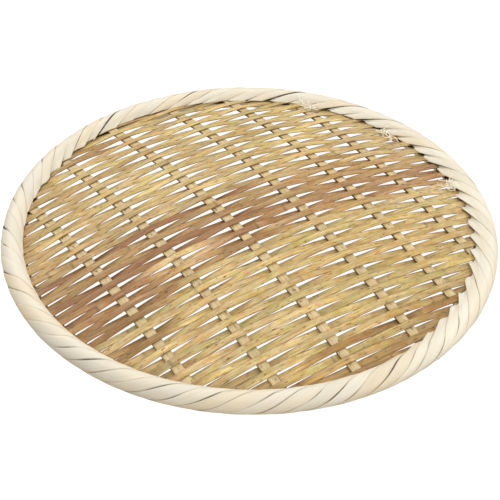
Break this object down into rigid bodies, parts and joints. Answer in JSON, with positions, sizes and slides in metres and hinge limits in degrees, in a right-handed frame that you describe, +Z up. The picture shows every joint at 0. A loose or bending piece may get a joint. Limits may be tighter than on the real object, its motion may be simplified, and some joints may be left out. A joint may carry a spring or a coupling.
{
  "type": "winnowing basket",
  "caption": "Shallow round tray of plain-woven split bamboo, domed, with a hooped edge bound in bark strip, lying with its hollow side down.",
  "frame": {"origin": "on the floor below the centre of the rim, with the tray lying hollow side down", "axes": "+Z up through the crown of the dome; +X along the woven strips; +Y along the ribs, to within 1.4 degrees"},
  "size_m": [0.33, 0.33, 0.0325],
  "materials": {
    "weft_bamboo": "satin",
    "rib_bamboo": "satin",
    "hoop_bamboo": "satin",
    "bark": "satin"
  },
  "bodies": {
    "root": {"binding_1": "bark", "binding_2": "bark", "binding_3": "bark", "binding_4": "bark", "lower_hoop": "hoop_bamboo", "rib_1": "rib_bamboo", "rib_2": "rib_bamboo", "rib_3": "rib_bamboo", "rib_4": "rib_bamboo", "rib_5": "rib_bamboo", "rib_6": "rib_bamboo", "upper_hoop": "hoop_bamboo", "weft_01_02": "weft_bamboo", "weft_03_04": "weft_bamboo", "weft_05_06": "weft_bamboo", "weft_07_08": "weft_bamboo", "weft_09_10": "weft_bamboo", "weft_11": "weft_bamboo", "weft_12": "weft_bamboo", "weft_13": "weft_bamboo", "weft_14": "weft_bamboo", "weft_15": "weft_bamboo", "weft_16": "weft_bamboo", "weft_17": "weft_bamboo", "weft_18": "weft_bamboo", "weft_19": "weft_bamboo", "weft_20": "weft_bamboo", "weft_21": "weft_bamboo", "weft_22": "weft_bamboo", "weft_23": "weft_bamboo", "weft_24": "weft_bamboo", "weft_25": "weft_bamboo", "weft_26": "weft_bamboo", "weft_27": "weft_bamboo", "weft_28": "weft_bamboo", "weft_29": "weft_bamboo", "weft_30": "weft_bamboo", "weft_31": "weft_bamboo", "weft_32": "weft_bamboo", "weft_33": "weft_bamboo", "weft_34": "weft_bamboo", "weft_35": "weft_bamboo", "weft_36": "weft_bamboo", "weft_37": "weft_bamboo", "weft_38": "weft_bamboo", "weft_39": "weft_bamboo", "weft_40": "weft_bamboo", "weft_41": "weft_bamboo", "weft_42": "weft_bamboo", "weft_43": "weft_bamboo", "weft_44": "weft_bamboo", "weft_45": "weft_bamboo", "weft_46": "weft_bamboo", "weft_47": "weft_bamboo", "weft_48_49": "weft_bamboo", "weft_50_51": "weft_bamboo", "weft_52_53": "weft_bamboo", "weft_54_55": "weft_bamboo", "weft_56_57": "weft_bamboo"}
  },
  "joints": []
}
